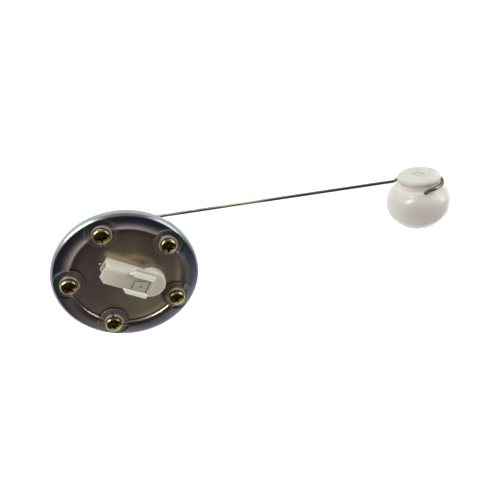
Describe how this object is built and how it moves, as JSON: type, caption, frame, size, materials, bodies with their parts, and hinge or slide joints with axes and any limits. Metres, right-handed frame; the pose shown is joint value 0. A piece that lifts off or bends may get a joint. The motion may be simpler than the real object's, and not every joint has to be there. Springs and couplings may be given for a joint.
{
  "type": "fuel level sender",
  "caption": "Round flange with a moulded socket and screws; below it a variable resistor with a pivoting wire arm and a float that turns in the arm's hook.",
  "frame": {"origin": "centre of the bolt circle on the gasket's tank face", "axes": "+Z out of the tank along the flange's axis, +X the way the float arm reaches, +Y along the arm's pivot"},
  "size_m": [0.1929, 0.071, 0.0736],
  "materials": {
    "passivated_steel": "iridescent zinc passivation",
    "seal_rubber": "matt moulded rubber",
    "yellow_zinc_screw": "yellow zinc",
    "spring_steel_washer": "bright zinc",
    "white_moulding": "natural nylon",
    "tinned_brass": "tinned brass",
    "bright_steel": "bright zinc",
    "bracket_steel": "passivated steel",
    "dark_moulding": "black moulding",
    "bush_brass": "turned brass",
    "resistor_board": "laminated board",
    "resistance_wire": "fine wound wire",
    "hub_moulding": "natural acetal",
    "spring_bronze": "spring bronze",
    "arm_wire": "dark spring steel",
    "float_moulding": "milky translucent moulding"
  },
  "bodies": {
    "root": {"mounting_flange": "passivated_steel", "flange_gasket": "seal_rubber", "mounting_screws": "yellow_zinc_screw", "lock_washers": "spring_steel_washer", "connector_housing": "white_moulding", "signal_terminal": "tinned_brass", "earth_terminal": "tinned_brass", "connector_seal": "seal_rubber", "connector_retainer": "bright_steel", "support_bracket": "bracket_steel", "resistor_housing": "dark_moulding", "housing_cover": "dark_moulding", "housing_rivets": "bright_steel", "back_bush": "bush_brass", "front_bush": "bush_brass", "resistor_card": "resistor_board", "resistance_winding": "resistance_wire", "full_end_clip": "tinned_brass", "empty_end_clip": "tinned_brass", "earth_rivet": "bright_steel", "signal_strap": "tinned_brass", "earth_strap": "tinned_brass"},
    "arm": {"wiper_hub": "hub_moulding", "wiper_spring": "spring_bronze", "wiper_contact": "spring_bronze", "shaft_clip": "bright_steel", "float_arm": "arm_wire"},
    "float": {"float": "float_moulding"}
  },
  "joints": [
    {"name": "arm_swing", "type": "hinge", "parent": "root", "child": "arm", "pos_m": [-0.008, 0, -0.0194], "axis": [0, 1, 0], "range_deg": [-4, 66]},
    {"name": "float_turn", "type": "hinge", "parent": "arm", "child": "float", "pos_m": [0.14317, 0.0209, 0.03052], "axis": [0, 1, 0], "continuous": true}
  ]
}
